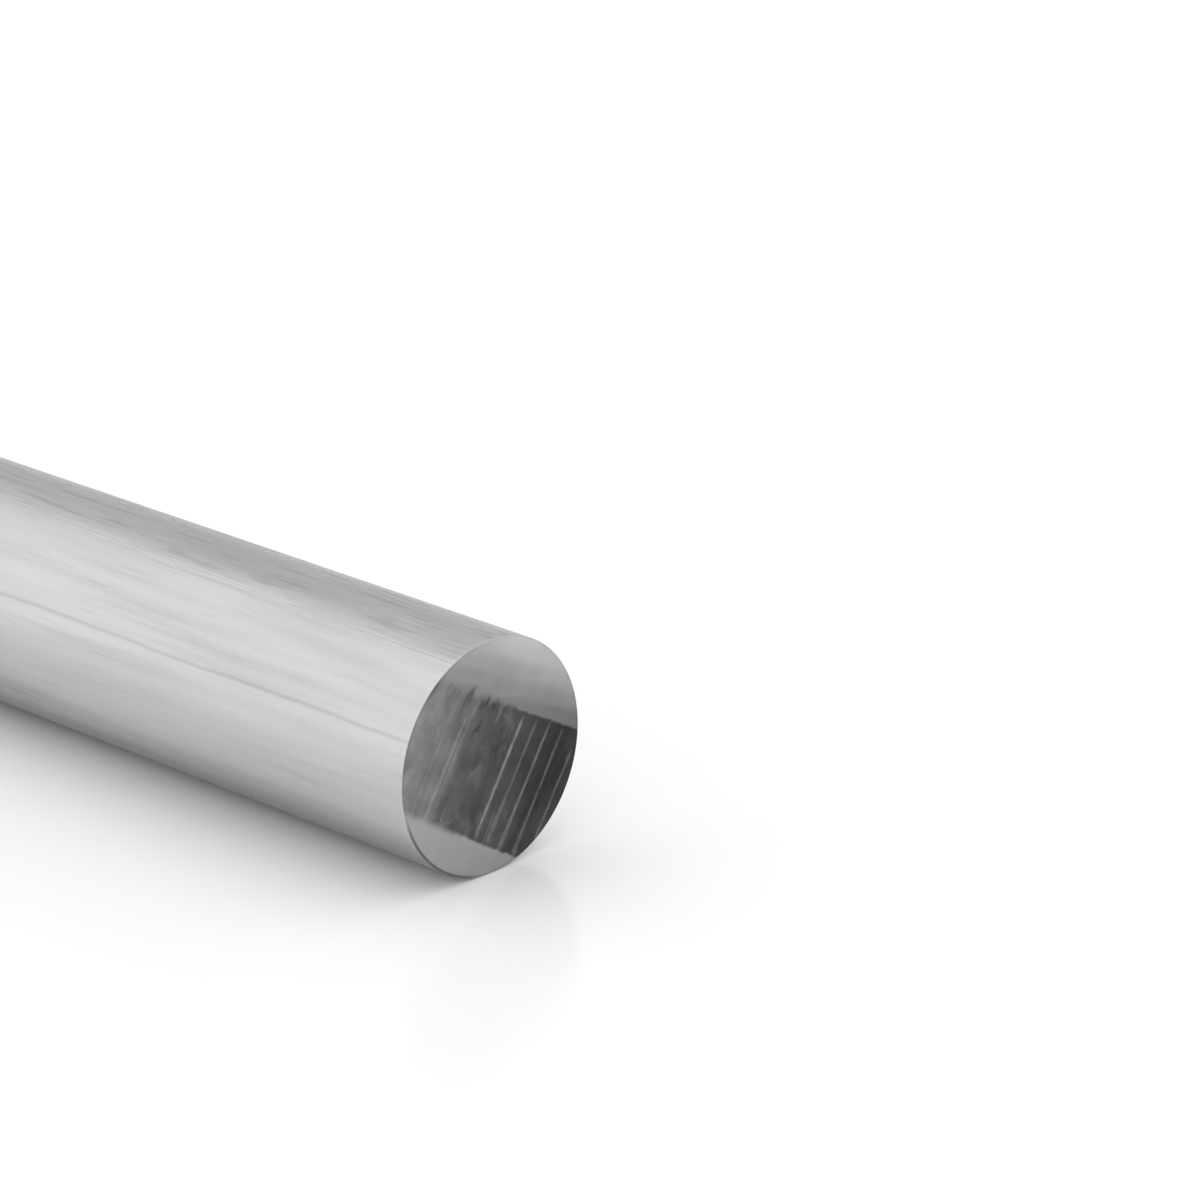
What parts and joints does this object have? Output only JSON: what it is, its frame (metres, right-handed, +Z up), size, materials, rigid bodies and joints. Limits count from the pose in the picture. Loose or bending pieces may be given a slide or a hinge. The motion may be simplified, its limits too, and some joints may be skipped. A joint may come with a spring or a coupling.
{
  "type": "round metal bar",
  "caption": "Solid round bar of bare aluminium stock, extruded smooth and sawn square at both ends, for turning, drilling or cutting into shafts, pins and posts.",
  "frame": {"origin": "on the floor under the middle of the bar, on the line where the bar touches the floor", "axes": "+X along the bar towards the end that shows its saw marks, +Y level across the bar, +Z up"},
  "size_m": [1, 0.05, 0.0498],
  "materials": {
    "extruded_aluminium": "bare mill finish with fine lengthwise extrusion lines, and saw marks on the end faces"
  },
  "bodies": {
    "root": {"round_bar": "extruded_aluminium"}
  },
  "joints": []
}
